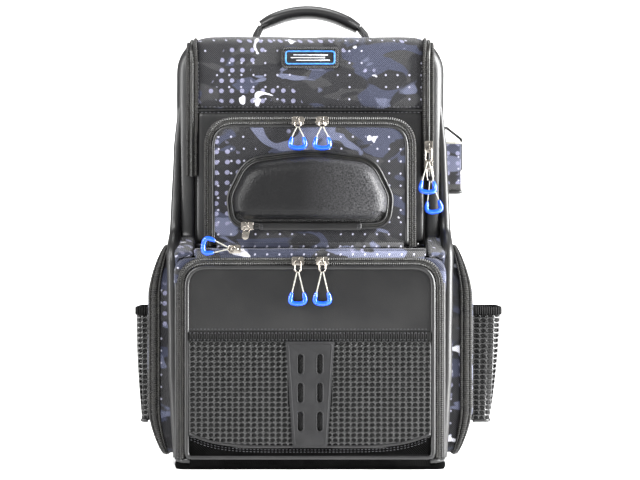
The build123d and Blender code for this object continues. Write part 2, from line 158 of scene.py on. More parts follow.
def ribs(pitch):
    """Ribs across a tape or strap, at a pitch along its own length."""

    def height(tree):
        return wave(tree, add(tree, "Attribute", attribute_name="run").outputs["Fac"], pitch)

    return height


def mottled(low, high, size):
    """Colour that drifts between two hex colours over patches of some millimetres."""

    def colour(tree):
        return blended(tree, level(tree, grain(size, 2.0)(tree), 0.35, 0.65), low, high)

    return colour


def islands(tree, size, above, offset, stretch=1.0):
    """A mask of ragged islands: noise of that size in millimetres, where it passes a level."""
    links = {"Vector": place(tree), "Location": offset, "Scale": (1, 1, stretch)}
    moved = add(tree, "Mapping", links).outputs[0]
    links = {"Vector": moved, "Scale": 1 / (size * MM), "Detail": 2.5, "Roughness": 0.45}
    height = add(tree, "TexNoise", {**links, "Distortion": 0.8}).outputs["Fac"]
    return level(tree, height, above - 0.008, above + 0.008)


def dots(tree, pitch, radius):
    """A mask of round dots on a square grid over the cloth, in millimetres."""
    squares = []
    for run in spread(tree):
        cell = calc(tree, "FRACT", calc(tree, "MULTIPLY_ADD", run, 1 / (pitch * MM), 100))
        offset = calc(tree, "SUBTRACT", cell, 0.5)
        squares.append(calc(tree, "MULTIPLY", offset, offset))
    far = calc(tree, "MULTIPLY", calc(tree, "SQRT", calc(tree, "ADD", *squares)), pitch)
    return level(tree, far, radius + 0.3, radius - 0.3)


def camouflage(tree):
    """A printed camouflage of greys and slate blue: large islands, fields of dots, pale splashes."""
    cloth = mottled("#0b0b10", "#16161b", 30)(tree)
    small_fields = islands(tree, 80, 0.47, (0.5, 0.1, 0.9))
    large_fields = islands(tree, 90, 0.56, (0.1, 0.33, 0.77))
    layers = (
        ("#2b2b2d", islands(tree, 62, 0.55, (0.31, 0.12, 0.4), 1.5)),
        ("#2f3346", islands(tree, 72, 0.54, (0.02, 0.5, 0.13), 1.8)),
        ("#101015", islands(tree, 50, 0.585, (0.7, 0.2, 0.61), 1.6)),
        ("#575b70", islands(tree, 60, 0.62, (0.22, 0.8, 0.3), 1.8)),
        ("#a2a2b4", calc(tree, "MULTIPLY", dots(tree, 13, 1.1), small_fields)),
        ("#7d7d96", calc(tree, "MULTIPLY", dots(tree, 11, 2.4), large_fields)),
        ("#dcdce6", islands(tree, 34, 0.70, (0.9, 0.6, 0.45), 1.4)),
    )
    for tone, mask in layers:
        cloth = blended(tree, mask, cloth, tone)
    threads = calc(tree, "MULTIPLY", level(tree, weave(2.2)(tree), 1.0, -1.0), 0.45)
    return blended(tree, threads, cloth, "#4a4a4a", "MULTIPLY")


def painted_highlight_right_half(tree):
    """Charcoal vinyl with a painted highlight: its right-hand half is painted paler, with fine specks."""
    across = add(tree, "SeparateXYZ", {"Vector": place(tree)}).outputs["X"]
    highlight_towards_right = level(tree, across, -0.01, 0.07)
    # Painted highlight: paler, flecked colour over the right-hand half.
    pale = calc(tree, "MULTIPLY", highlight_towards_right, level(tree, grain(1.6)(tree), 0.3, 0.75))
    return blended(tree, pale, "#0d0d0e", "#4c4c4e")


RUBBED = {"Sheen_Weight": 0.2, "Sheen_Roughness": 0.5}
FINISH = {
    # 600 denier nylon with a printed camouflage: dry and a little fuzzy.
    "camo": finish("camo_nylon", camouflage, 0.68, weave(2.2), 0.3, Specular_IOR_Level=0.2, **RUBBED),
    # Nylon with a rolled-on coating: smooth, so light spreads softly along each fold.
    "coated": finish(
        "coated_nylon", mottled("#0a0a0b", "#131313", 40), 0.38, grain(1.1), 0.12, Specular_IOR_Level=0.42
    ),
    # Ballistic nylon in a dull, coarse basket weave, drawn coarser than it is so that it shows. It is black
    # cloth, drawn darker still as painted shade at the foot of the bag.
    "ballistic": finish(
        "ballistic_nylon", mottled("#030303", "#070707", 12), 0.75, weave(2.6), 0.35, Specular_IOR_Level=0.02
    ),
    # Zip tape with a woven rib, and the coil on it.
    "tape": finish("zip_tape", mottled("#100f0f", "#201f1c", 6), 0.5, ribs(2.2), 0.45),
    "coil": finish("zip_coil", mottled("#0e0e0e", "#1e1e1a", 5), 0.32, grain(0.8), 0.05),
    # The same smooth nylon stretched tight over a cord.
    "piping": finish("piping", mottled("#0e0e0f", "#191919", 20), 0.36, grain(0.9), 0.08),
    # Nylon webbing in a plain weave.
    "webbing": finish("webbing", mottled("#0b0b0c", "#151515", 10), 0.6, weave(2.4), 0.5),
    # Woven elastic, ribbed across its length.
    "elastic": finish(
        "elastic", mottled("#090909", "#121212", 5), 0.58, ribs(2.4), 0.7, Specular_IOR_Level=0.07
    ),
    # Netting dipped in vinyl, glossy on its rounded cords.
    "net": finish("vinyl_net", mottled("#0e0e0e", "#181818", 9), 0.24, grain(1.2), 0.12, Coat_Weight=0.2),
    # Dull cloth behind the netting, drawn darker than the door's nylon as painted shade under the netting;
    # the open spacer mesh of the pads; and the smooth lining inside.
    "under_net": finish("cloth_under_net", mottled("#070707", "#0d0d0d", 9), 0.8, weave(3.0), 0.3),
    "spacer": finish("spacer_mesh", mottled("#0b0b0c", "#161617", 4), 0.75, weave(3.4), 0.9, **RUBBED),
    "lining": finish("lining", mottled("#2d2f33", "#393c41", 30), 0.6, weave(1.9), 0.15),
    # Moulded foam under embossed vinyl: the fine grain scatters the light. Its right-hand half carries a
    # painted highlight, paler and flecked.
    "vinyl": finish("embossed_vinyl", painted_highlight_right_half, 0.42, grain(2.0, 1.5), 0.55, Specular_IOR_Level=0.22),
    # Soft moulded rubber: flat charcoal, barely shiny.
    "rubber": finish(
        "soft_rubber", mottled("#19191a", "#202021", 18), 0.5, grain(0.6), 0.05, Specular_IOR_Level=0.25
    ),
    # The moulded badge: a dark plate, a blue border and pale grey bars.
    "badge_dark": finish("badge_dark", mottled("#0a0b0e", "#101218", 6), 0.4, grain(0.7), 0.05),
    "badge_blue": finish("badge_blue", mottled("#2c68b8", "#3f86d6", 6), 0.35, grain(0.6), 0.03),
    "badge_grey": finish("badge_grey", mottled("#aeb2ba", "#c9ccd2", 5), 0.4, grain(0.6), 0.03),
    # Cast zinc, nickel plated and tumbled: a warm, bright mirror that darkens where it sees the cloth.
    "nickel": finish("nickel_plate", mottled("#8f8982", "#c9c2b8", 8), 0.17, grain(3), 0.05, Metallic=1.0),
    # Thin braided nylon cord, pale and dull.
    "braid": finish("braided_cord", mottled("#7d7c75", "#a3a299", 2), 0.6, grain(0.7), 0.25),
    # A bright moulded sleeve, clear and glossy over saturated blue.
    "blue": finish("blue_sleeve", mottled("#0848d8", "#0f58ea", 6), 0.25, grain(2.0), 0.03, Coat_Weight=0.6),
    # Injection moulded buckles, and bonded sewing thread.
    "acetal": finish("acetal", mottled("#131313", "#1b1b1b", 9), 0.36, grain(0.9), 0.06),
    "thread": finish("thread", mottled("#3a3a3d", "#525256", 3), 0.7, grain(0.5), 0.1),
    "pale_floor": finish("pale_floor", mottled("#ededed", "#f4f4f4", 300), 0.8),
}


# ---------------------------------------------------------------- making pieces


def piece(name, bm, finishes, body=None):
    """A finished object from a bmesh, riding on a body."""
    mesh = bpy.data.meshes.new(name)
    bm.normal_update()
    bm.to_mesh(mesh)
    bm.free()
    obj = bpy.data.objects.new(name, mesh)
    bpy.context.scene.collection.objects.link(obj)
    dress(obj, finishes)
    if body:
        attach(obj, body)
    return obj


def dress(obj, finishes, sharp=None):
    """Gives the mesh its finishes and smooth shading, with edges sharper than an angle kept."""
    obj.data.materials.clear()
    for f in finishes.split():
        obj.data.materials.append(FINISH[f])
    for polygon in obj.data.polygons:
        polygon.use_smooth = True
    if sharp:
        obj.data.set_sharp_from_angle(angle=math.radians(sharp))


def settle(obj):
    """Applies the object's modifiers to its mesh."""
    graph = bpy.context.evaluated_depsgraph_get()
    mesh = bpy.data.meshes.new_from_object(obj.evaluated_get(graph))
    obj.modifiers.clear()
    obj.data = mesh


def copied(node):
    """A bmesh of a CAD node, with its loose triangles joined."""
    bm = bmesh.new()
    bm.from_mesh(NODES[node].data)
    bmesh.ops.remove_doubles(bm, verts=bm.verts, dist=0.01 * MM)
    return bm


def stand_in(obj, node):
    """The piece rides with this CAD node and is shown in its place."""
    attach(obj, BODY_OF[node])
    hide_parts(node)
    return obj


def sewn(node, finishes, voxel=2.6, relax=4, wrinkles=(0.7, 45), swell=None, zone=None):
    """A CAD solid of cloth remade with soft edges and wrinkles, (depth, size).

    swell gives how far a point moves outwards, and zone which finish a face gets; both are
    functions of a place in millimetres and a normal.
    """
    obj = piece(node + "_cloth", copied(node), finishes)
    remesh = obj.modifiers.new("even", "REMESH")
    remesh.mode = "VOXEL"
    remesh.voxel_size = voxel * MM
    settle(obj)
    bm = bmesh.new()
    bm.from_mesh(obj.data)
    for _ in range(relax):
        bmesh.ops.smooth_vert(
            bm, verts=bm.verts, factor=0.5, use_axis_x=True, use_axis_y=True, use_axis_z=True
        )
    bm.normal_update()
    depth, size = wrinkles
    moves = []
    for vertex in bm.verts:
        spot = vertex.co / (size * MM)
        rise = 0.7 * noise.noise(spot) + 0.3 * noise.noise(spot * 2.3 + Vector((7, 3, 1)))
        lift = swell(vertex.co / MM, vertex.normal) if swell else 0
        moves.append(vertex.normal * (depth * rise + lift) * MM)
    for vertex, move in zip(bm.verts, moves):
        vertex.co += move
    bm.to_mesh(obj.data)
    bm.free()
    dress(obj, finishes)
    if zone:
        for polygon in obj.data.polygons:
            polygon.material_index = zone(polygon.center / MM, polygon.normal)
    return stand_in(obj, node)


def eased(node, finish_name, width=0.5, segments=2):
    """A hard CAD solid with its edges eased, in place of the node."""
    bm = copied(node)
    bmesh.ops.dissolve_limit(bm, angle_limit=math.radians(2), verts=bm.verts, edges=bm.edges)
    obj = piece(node + "_part", bm, finish_name)
    bevel = obj.modifiers.new("eased", "BEVEL")
    bevel.width = width * MM
    bevel.segments = segments
    bevel.limit_method = "ANGLE"
    bevel.angle_limit = math.radians(32)
    settle(obj)
    dress(obj, finish_name, 45)
    return stand_in(obj, node)


def steps(count):
    """Shares from 0 to 1 at even gaps."""
    return [i / count for i in range(count + 1)]


def rounded(points, radius, closed=False):
    """The path through these points with each corner eased. radius is one size or one per corner."""
    path = []
    for i, point in enumerate(points):
        if not closed and i in (0, len(points) - 1):
            path.append(Vector(point))
            continue
        before = Vector(points[i - 1]) - Vector(point)
        after = Vector(points[(i + 1) % len(points)]) - Vector(point)
        size = radius[i] if isinstance(radius, tuple) else radius
        reach = size / math.tan(before.angle(after) / 2)
        a = Vector(point) + before.normalized() * min(reach, 0.49 * before.length)
        b = Vector(point) + after.normalized() * min(reach, 0.49 * after.length)
        path += [a * (1 - s) ** 2 + Vector(point) * 2 * s * (1 - s) + b * s * s for s in steps(7)]
    return path


def divided(path, spacing, closed=False):
    """The same path with points at an even spacing."""
    ends = path + path[:1] if closed else path
    runs = [(b - a).length for a, b in zip(ends, ends[1:])]
    count = max(2, round(sum(runs) / spacing))
    gap = sum(runs) / count
    points, done, left = [ends[0]], 0.0, gap
    for a, b, run in zip(ends, ends[1:], runs):
        while run and left <= done + run + 1e-6 and len(points) < count:
            points.append(a.lerp(b, (left - done) / run))
            left += gap
        done += run
    return points if closed else points + [ends[-1]]


def inset(path, distance):
    """A closed path on the front, moved in towards its middle."""
    middle = sum(path, Vector()) / len(path)
    moved = []
    for i, point in enumerate(path):
        along = path[(i + 1) % len(path)] - path[i - 1]
        side = along.cross(FRONT).normalized()
        moved.append(point + side * math.copysign(distance, side.dot(middle - point)))
    return moved


def circle(radius, sides=10, squeeze=1.0):
    """A round or oval section, as (sideways, outwards) points."""
    turns = [2 * math.pi * i / sides for i in range(sides)]
    return [(radius * math.cos(t), squeeze * radius * math.sin(t)) for t in turns]


def flat(width, lift):
    """The section of a tape that stands on a surface, with eased corners."""
    half, soft = width / 2, 0.35 * lift
    right = [(half, 0), (half, lift - soft), (half - soft, lift)]
    return [(-half, 0)] + right + [(soft - half, lift), (-half, lift - soft)]


def moved(section, sideways, outwards):
    """A section moved off the path."""
    return [(s + sideways, o + outwards) for s, o in section]


def swept(bm, path, outward, section, closed=False, scale=None):
    """Sweeps a section along a path. The points remember how far along it they are, in metres.

    outward is one direction or one for each point, and scale a size for each share of the path.
    """
    run = bm.verts.layers.float.get("run") or bm.verts.layers.float.new("run")
    frames = []
    for i, point in enumerate(path):
        after = path[(i + 1) % len(path)] if closed or i + 1 < len(path) else point
        before = path[i - 1] if closed or i else point
        along = (after - before).normalized()
        side = along.cross(outward[i] if isinstance(outward, list) else outward).normalized()
        turn = Matrix((side, side.cross(along), along)).transposed().to_4x4()
        size = scale(i / max(1, len(path) - 1)) if scale else 1.0
        frames.append(Matrix.Translation(point * MM) @ turn @ Matrix.Scale(size, 4))
    start = [bm.verts.new(frames[0] @ Vector((s * MM, o * MM, 0))) for s, o in section]
    first = [bm.edges.new(pair) for pair in zip(start, start[1:] + start[:1])]
    edges, faces, distance, at = first, [], 0.0, 0
    for stop in list(range(1, len(path))) + ([0] if closed else []):
        distance += (path[stop] - path[at]).length * MM
        grown = bmesh.ops.extrude_edge_only(bm, edges=edges)["geom"]
        verts = [g for g in grown if isinstance(g, bmesh.types.BMVert)]
        edges = [g for g in grown if isinstance(g, bmesh.types.BMEdge)]
        faces += [g for g in grown if isinstance(g, bmesh.types.BMFace)]
        edges = [e for e in edges if e.verts[0] in verts and e.verts[1] in verts]
        bmesh.ops.transform(bm, matrix=frames[stop] @ frames[at].inverted(), verts=verts)
        for vertex in verts:
            vertex[run] = distance
        at = stop
    if closed:
        ends = list({*start, *(v for e in edges for v in e.verts)})
        bmesh.ops.remove_doubles(bm, verts=ends, dist=0.02 * MM)
    else:
        for edge_loop in (first, edges):
            faces += bmesh.ops.edgeloop_fill(bm, edges=edge_loop)["faces"]
    bmesh.ops.recalc_face_normals(bm, faces=[f for f in faces if f.is_valid])
    return bm


def track(name, path, outward, section, finish_name, body, closed=False, scale=None):
    """A piece made of one sweep."""
    bm = swept(bmesh.new(), path, outward, section, closed, scale)
    return piece(name, bm, finish_name, body)


def toothed(count):
    """The sizes of a coil with a tooth at every second one of its points."""
    return lambda share: 1.0 + 0.22 * (round(share * count) % 2)


def zipped(name, path, outward, width, body, cord, apart, lift=1.0):
    """A closed zip: a tape, a coil with teeth along its middle, and a cord on each side of it.

    outward has a direction for each point. Returns the tape, which can stand in for a CAD node.
    """
    tape = track(name + "_tape", path, outward, flat(width, 1.3), "tape", body)
    bm = bmesh.new()
    for side in (-1, 1):
        swept(bm, path[::2], outward[::2], moved(circle(cord, 8), side * apart, lift))
    piece(name + "_cords", bm, "tape", body)
    coil, teeth = moved(circle(1.5, 8, 0.7), 0, 1.4), toothed(len(path) - 1)
    track(name + "_coil", path, outward, coil, "coil", body, scale=teeth)
    return tape


def stitched(name, rows, outward, body, pitch=4.4, length=2.8, thickness=0.75):
    """Rows of stitches, each stitch a small ellipsoid sunk half into the cloth."""
    bm = bmesh.new()
    for row in rows:
        points = divided([Vector(p) for p in row], pitch)
        for a, b in zip(points, points[1:]):
            along = (b - a).normalized()
            side = along.cross(outward).normalized()
            turn = Matrix((along, side, side.cross(along))).transposed().to_4x4()
            size = Matrix.Diagonal((length / 2 * MM, thickness / 2 * MM, thickness / 2 * MM, 1))
            spot = Matrix.Translation(a * MM) @ turn @ size
            bmesh.ops.create_icosphere(bm, subdivisions=1, radius=1.0, matrix=spot)
    return piece(name, bm, "thread", body)


def netting(name, point_at, columns, rows, keep, body, cord=1.5):
    """Netting on a surface. point_at turns column and row shares into a place, keep picks cells."""
    bm = bmesh.new()
    bmesh.ops.create_grid(bm, x_segments=columns, y_segments=rows, size=0.5)
    outside = [f for f in bm.faces if not keep(*(c + 0.5 for c in f.calc_center_median()[:2]))]
    bmesh.ops.delete(bm, geom=outside, context="FACES")
    for vertex in bm.verts:
        vertex.co = Vector(point_at(vertex.co.x + 0.5, vertex.co.y + 0.5)) * MM
    obj = piece(name, bm, "net")
    wire = obj.modifiers.new("cords", "WIREFRAME")
    wire.thickness = cord * MM
    wire.use_even_offset = False
    wire.use_boundary = True
    soft = obj.modifiers.new("soft", "SUBSURF")
    soft.levels = soft.render_levels = 1
    settle(obj)
    dress(obj, "net")
    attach(obj, body)
    return obj


# ---------------------------------------------------------------- shell of the bag


def bulge(axis, across, up, rise):
    """Swells the outer face of a panel: axis is its outward direction, and the rest its middle."""
    outward = Vector(axis)

    def swell(p, normal):
        if normal.dot(outward) < 0.5:
            return 0.0
        height = rise
        for value, (low, high) in ((p.y if abs(axis[0]) > 0.5 else p.x, across), (p.z, up)):
            far = abs(value - (low + high) / 2) / ((high - low) / 2)
            height *= max(0.0, 1 - far**4)
        return height

    return swell


def cheek(p, _normal):
    """Camouflage on the corners between the two compartments, and coated nylon elsewhere."""
    return 0 if (p.y < -77 and 200 < p.z < 256) else 1


for side in ("left", "right"):
    sewn("side_wall_" + side, "camo coated", wrinkles=(0.9, 50), zone=cheek)
sewn("back_wall", "coated", voxel=3.2, wrinkles=(0.8, 60))
sewn("lower_front_frame", "camo coated", voxel=2.2, relax=2, wrinkles=(0.3, 40), zone=cheek)
sewn("base_panel", "ballistic", voxel=3.0, relax=5, wrinkles=(0.3, 50))
sewn("divider_shelf", "lining", voxel=3.4, relax=4, wrinkles=(0.8, 60))
eased("back_board", "lining", 0.8)

sewn("flap_camo_panel", "camo", wrinkles=(1.3, 42))
flap_bulge = bulge((0, -1, 0), (-124, 124), (240, 385), 2.0)
sewn("flap_black_panel", "coated", wrinkles=(0.9, 55), swell=flap_bulge)
sewn("ledge_band", "camo", voxel=1.5, relax=3, wrinkles=(0.8, 30))


def roll_size(share):
    """A roll comes out of the seam at its top end, widens on its way down and is a little lumpy."""
    end = min(1.0, 0.15 + share * 8)
    return end * (0.6 + 0.55 * min(1.0, share * 2.2)) * (1 + 0.03 * math.sin(share * 43))


# A round padded roll runs down each front corner, from under the top to the base
for label, side in SIDES:
    places = ((133, -60, 432), (138, -66, 405), (143, -68, 345), (144.5, -69, 290), (146, -73, 252))
    places += ((147, -100, 232), (146, -103, 180), (145, -104, 100), (140, -104, 13))
    path = divided(rounded([(side * x, y, z) for x, y, z in places], 25), 4)
    out = Vector((side * 0.7, -0.7, 0.05))
    section = circle(5.6, 16)
    track("corner_roll_" + label, path, out, section, "coated", "root", scale=roll_size)

# Cord along the top of the base
places = ((-141, 60), (-141, -104), (-135, -112.5), (135, -112.5), (141, -104), (141, 60))
path = divided(rounded([(x, y, 10) for x, y in places], 5), 5)
out = [Vector((p.x * 0.01 + math.copysign(0.3, p.x), -1 if p.y < -105 else 0, 0)) for p in path]
track("base_cord", path, out, circle(3.0, 12), "piping", "root")


ZIP_STEP = 1.1
shell = bmesh.new()
for node in ("side_wall_right", "side_wall_left", "back_wall", "flap_camo_panel"):
    shell.from_mesh(NODES[node].data)
SHELL = BVHTree.FromBMesh(shell)
shell.free()


def on_shell(aim, towards):
    """Where a line from outside through a point meets the bag, and the surface's direction there."""
    towards = Vector(towards).normalized()
    hit, normal, _, _ = SHELL.ray_cast((Vector(aim) - towards * 300) * MM, towards)
    return hit / MM, (normal if normal.dot(towards) < 0 else -normal)


def main_zip_line():
    """Points and outward directions along the main zip: up the right, over the top, down the left."""
    rays = [((127.5, -75, z), (0, 1, 0)) for z in range(313, 428, 6)]
    for s in steps(8)[1:]:
        rays.append(((127.5, -45, 428), (0, math.cos(s * math.pi / 2), -math.sin(s * math.pi / 2))))
    corner = ((126, 53), (122, 56.5), (116, 58), (108, 58))
    tops = [(127.5, y) for y in range(-38, 50, 8)] + list(corner) + [(x, 58) for x in range(100, -1, -10)]
    rays += [((x, y, 440), (0, 0, -1)) for x, y in tops]
    hits = [on_shell(*ray) for ray in rays]
    mirror = Matrix.Diagonal((-1, 1, 1))
    hits += [(mirror @ spot, mirror @ out) for spot, out in reversed(hits[:-1])]
    runs = [0.0]
    for (a, _), (b, _) in zip(hits, hits[1:]):
        runs.append(runs[-1] + (b - a).length)
    line, outs, at = [], [], 0
    for i in range(round(runs[-1] / ZIP_STEP) + 1):
        run = min(i * ZIP_STEP, runs[-1] - 0.01)
        while runs[at + 1] < run:
            at += 1
        share = (run - runs[at]) / (runs[at + 1] - runs[at])
        outs.append(hits[at][1].lerp(hits[at + 1][1], share).normalized())
        line.append(hits[at][0].lerp(hits[at + 1][0], share) + outs[-1] * 0.6)
    return line, outs


line, outs = main_zip_line()
stand_in(zipped("main_zip", line, outs, 8.4, "root", 1.7, 4.6, 0.9), "main_zip")

# Cloth behind the gap between the flap and the bag, and a roll in the seam across the flap
for label, side in SIDES:
    line = [Vector((side * 123.5, -68.8, z)) for z in range(226, 449, 6)]
    track("placket_" + label, line, FRONT, flat(13, 1.2), "coated", "root")
line = [(-141, -106, 60), (-141, -106, 222), (141, -106, 222), (141, -106, 60)]
track("frame_roll", divided(rounded(line, 14), 4), FRONT, circle(4.6, 12), "camo", "root")
flap_span = range(-123, 124, 3)
line = [Vector((x, -73.2, 385)) for x in flap_span]
track("flap_seam", line, FRONT, circle(1.9, 10), "coated", "main_flap")
line = [Vector((x, -74.5, 237.6)) for x in flap_span]
track("ledge_seam", line, FRONT, circle(2.6, 10), "camo", "main_flap")


def frame_line(x, z, top, bottom, y):
    """A rounded rectangle at a depth, from its top right corner round by the left."""
    corners = [(x[1], y, z[1]), (x[0], y, z[1]), (x[0], y, z[0]), (x[1], y, z[0])]
    return rounded(corners, (top, top, bottom, bottom), True)


# ---------------------------------------------------------------- badge

eased("badge", "badge_dark", 0.8, 3)
line = divided(frame_line((-26.2, 26.2), (434.8, 448.2), 2.5, 2.5, -77.8), 2, True)
track("badge_border", line, FRONT, flat(1.5, 0.7), "badge_blue", "main_flap", True)
bm = bmesh.new()
for low, high, z in ((-18, 19, 444.3), (-21, 16, 441.4), (-15, 21, 438.5)):
    swept(bm, [Vector((low, -77.8, z)), Vector((high, -77.8, z))], FRONT, flat(1.0, 0.5))
piece("badge_bars", bm, "badge_grey", "main_flap")
line = divided(frame_line((-29.4, 29.4), (431.4, 451.6), 3, 3, -76.0), 2, True)
track("badge_surround", line, FRONT, flat(3.2, 1.6), "webbing", "main_flap", True)

rows = [[(x, y, z) for x in range(-121, 122, 11)] for y, z in ((-77.2, 382.4), (-76.6, 388.2))]
rows += [[(s * 120.5, -76.4, z) for z in range(392, 448, 8)] for s in (-1, 1)]
stitched("flap_stitches", rows, FRONT, "main_flap")

# ---------------------------------------------------------------- upper pocket and case

sewn("upper_pocket_gusset", "camo", voxel=1.5, relax=3, wrinkles=(0.5, 30))
pocket_bulge = bulge((0, -1, 0), (-105, 105), (238, 368), 2.4)
sewn("upper_pocket_door", "camo", voxel=2.0, wrinkles=(0.9, 36), swell=pocket_bulge)
line = [(-109, -98.4, 238), (-109, -98.4, 372), (109, -98.4, 372), (109, -98.4, 238)]
path = divided(rounded(line, 28), ZIP_STEP)
stand_in(zipped("upper_zip", path, [FRONT] * len(path), 8.0, "main_flap", 2.0, 2.6), "upper_zip")
line = [(-103.4, -102.0, 240), (-103.4, -102.0, 366.4), (103.4, -102.0, 366.4), (103.4, -102.0, 240)]
path = divided(rounded(line, 23), 4)
track("pocket_door_cord", path, FRONT, circle(1.9), "piping", "upper_door")

CASE = [(-86, 256), (86, 256), (90, 292), (70, 333), (0, 342), (-70, 333), (-90, 292)]
CASE_TURNS = (24, 24, 30, 34, 150, 34, 30)


def case_line(distance, y):
    """The outline of the case, moved in by a distance."""
    return inset(divided(rounded([(x, y, z) for x, z in CASE], CASE_TURNS, True), 2.2, True), distance)


eased("case_base", "webbing", 1.2, 3)
bm = bmesh.new()
for distance in (1.8, 6.4):
    swept(bm, case_line(distance, -108.4), FRONT, circle(1.5, 8), True)
piece("case_cords", bm, "piping", "upper_door")
coil, teeth = circle(1.6, 8, 0.6), toothed(330)
track("case_coil", case_line(4.1, -108.0), FRONT, coil, "coil", "upper_door", True, teeth)


def fuller(p, normal):
    """The lid's walls swell sideways, but not at its foot, by the hinge."""
    return 3.6 * max(0.0, 1 - normal.y**2) if p.y < -108 and p.z > 275 else 0.0


sewn("case_lid", "vinyl", voxel=1.25, relax=22, wrinkles=(0.2, 60), swell=fuller)
sewn("case_hinge_strip", "coated", voxel=1.0, relax=3, wrinkles=(0.2, 20))
rows = [[(s * 52 + d, -111.4, 256.5), (s * 52 + d, -111.4, 263)] for s in (-1, 1) for d in (-1.5, 0, 1.5)]
stitched("hinge_strip_stitches", rows, FRONT, "upper_door", 1.6, 1.3, 0.6)

# ---------------------------------------------------------------- lower door


def yoke(x):
    """Height of the seam over the ballistic nylon at the foot of the door."""
    return 25 + 14 * min(1.0, (abs(x) / 128) ** 5)


def door_zone(p, normal):
    """Coated nylon, ballistic nylon at the foot, and the darkened cloth under the netting, which carries
    painted shade.
    """
    if normal.y > -0.5 or abs(p.x) > 130:
        return 0
    if p.z < yoke(p.x):
        return 1
    return 2 if (p.z < 137 and abs(p.x) < 127.5) else 0


def door_swell(p, normal):
    """The door is fuller above the netting, and a little over the ballistic nylon."""
    if normal.y > -0.5:
        return 0.0
    top = max(0.0, 1 - ((p.z - 182) / 34) ** 2) * max(0.0, 1 - (abs(p.x) / 128) ** 6)
    return 1.7 * top + (0.9 if p.z < yoke(p.x) and abs(p.x) < 125 else 0.0)


finishes = "coated ballistic under_net"
sewn("lower_door", finishes, voxel=2.2, wrinkles=(0.6, 60), swell=door_swell, zone=door_zone)
path = divided(frame_line((-131, 131), (13.5, 215.5), 21, 5, -116.4), 4, True)
track("door_cord", path, FRONT, circle(2.7, 12), "piping", "lower_door", True)
line = [(-137.5, -113.2, 12), (-137.5, -113.2, 222), (137.5, -113.2, 222), (137.5, -113.2, 12)]
path = divided(rounded(line, 27.5), ZIP_STEP)
stand_in(zipped("lower_zip", path, [FRONT] * len(path), 7.6, "root", 1.9, 2.47), "lower_zip")

door_span = range(-128, 129, 4)
band = divided([Vector((x, -117.4, 142.2)) for x in door_span], 1.2)
tape = track("elastic_band_tape", band, FRONT, flat(10, 2.3), "elastic", "lower_door")
stand_in(tape, "elastic_band")
seam = [Vector((x, -118.6, yoke(x) + 0.2)) for x in door_span]
track("yoke_cord", seam, FRONT, circle(1.5, 8), "piping", "lower_door")
rows = [[(x, -118.5, yoke(x) - d) for x in range(-126, 127, 6)] for d in (3.2, 5.6)]
rows += [[(x, y, z) for x in (-127, 127)] for y, z in ((-119.9, 138.6), (-119.9, 145.9), (-117.9, 150.0))]
stitched("door_stitches", rows, FRONT, "lower_door", 3.8, 2.5, 0.6)


# The netting's half: its inner edge and width across the door, and its foot and height up it
NET_INNER, NET_WIDE = 17, 111
NET_FOOT, NET_TALL = 24, 113


def net_place(side):
    """The places of one half of the door's netting, which swells a little between its seams."""

    def point_at(u, v):
        x, z = side * (NET_INNER + NET_WIDE * u), NET_FOOT + NET_TALL * v
        puffed = max(0.0, 1 - (2 * u - 1) ** 4) * max(0.0, 1 - (2 * v - 1) ** 4)
        return x, -118.6 - 0.7 * puffed, z

    return point_at


def net_kept(u, v):
    """The netting ends at the yoke and under the patch."""
    x, z = NET_INNER + NET_WIDE * u, NET_FOOT + NET_TALL * v
    return z > yoke(x) and x > NET_INNER + 0.5 + (z - NET_FOOT) * 0.068


for label, side in SIDES:
    net = netting("front_net_" + label, net_place(side), 17, 21, net_kept, "lower_door")
    if side > 0:
        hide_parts("front_mesh")

eased("centre_patch", "rubber", 0.7, 3)
edge = [(-23.2, -121.3, 134.5), (23.2, -121.3, 134.5), (16.2, -121.3, 26.5), (-16.2, -121.3, 26.5)]
path = divided(rounded(edge, 2, True), 3, True)
track("patch_ridge", path, FRONT, circle(0.8, 8, 0.6), "rubber", "lower_door", True)
bm = bmesh.new()
for x in (-10.3, 10.3):
    for z in (52, 82.5, 113):
        corners = [(x + a * 3.6, -121.2, z + b * 11) for a, b in ((-1, -1), (1, -1), (1, 1), (-1, 1))]
        swept(bm, divided(rounded(corners, 3.5, True), 1.5, True), FRONT, circle(0.7, 8, 0.7), True)
piece("patch_slot_rims", bm, "rubber", "lower_door")

# ---------------------------------------------------------------- side pockets, nets and holster

SIDE_WALL = 145.3
POD_X = 168
POD_Y = (-80, 50)
POD_Z = (14, 238)
NET_POCKET_Y = (-60.4, 30.4)
NET_POCKET_FOOT, NET_POCKET_TALL = 49, 117

